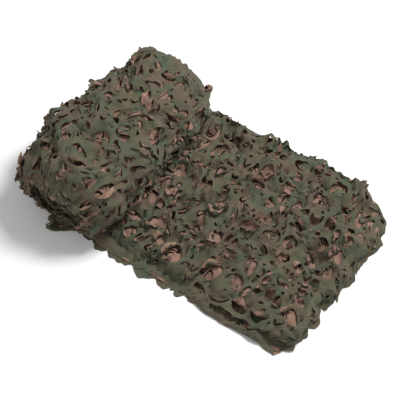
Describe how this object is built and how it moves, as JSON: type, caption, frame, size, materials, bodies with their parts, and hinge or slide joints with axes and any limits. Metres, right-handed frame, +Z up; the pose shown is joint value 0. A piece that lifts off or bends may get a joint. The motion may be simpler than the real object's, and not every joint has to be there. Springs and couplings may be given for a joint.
{
  "type": "camouflage net",
  "caption": "Die-cut two-tone camouflage net, folded lengthwise and rolled up from one end, with its other end laid out flat.",
  "frame": {"origin": "on the floor, under the middle of the box around the whole net", "axes": "+X from the roll towards the loose end, +Y along the roll, +Z up"},
  "size_m": [1.0082, 0.678, 0.2946],
  "materials": {
    "net_cloth": "matt woven cloth, grey-green on its face and pinkish brown on its back, die-cut into curled leaf shapes"
  },
  "bodies": {
    "root": {"net_roll": "net_cloth", "net_loose_end": "net_cloth"}
  },
  "joints": []
}
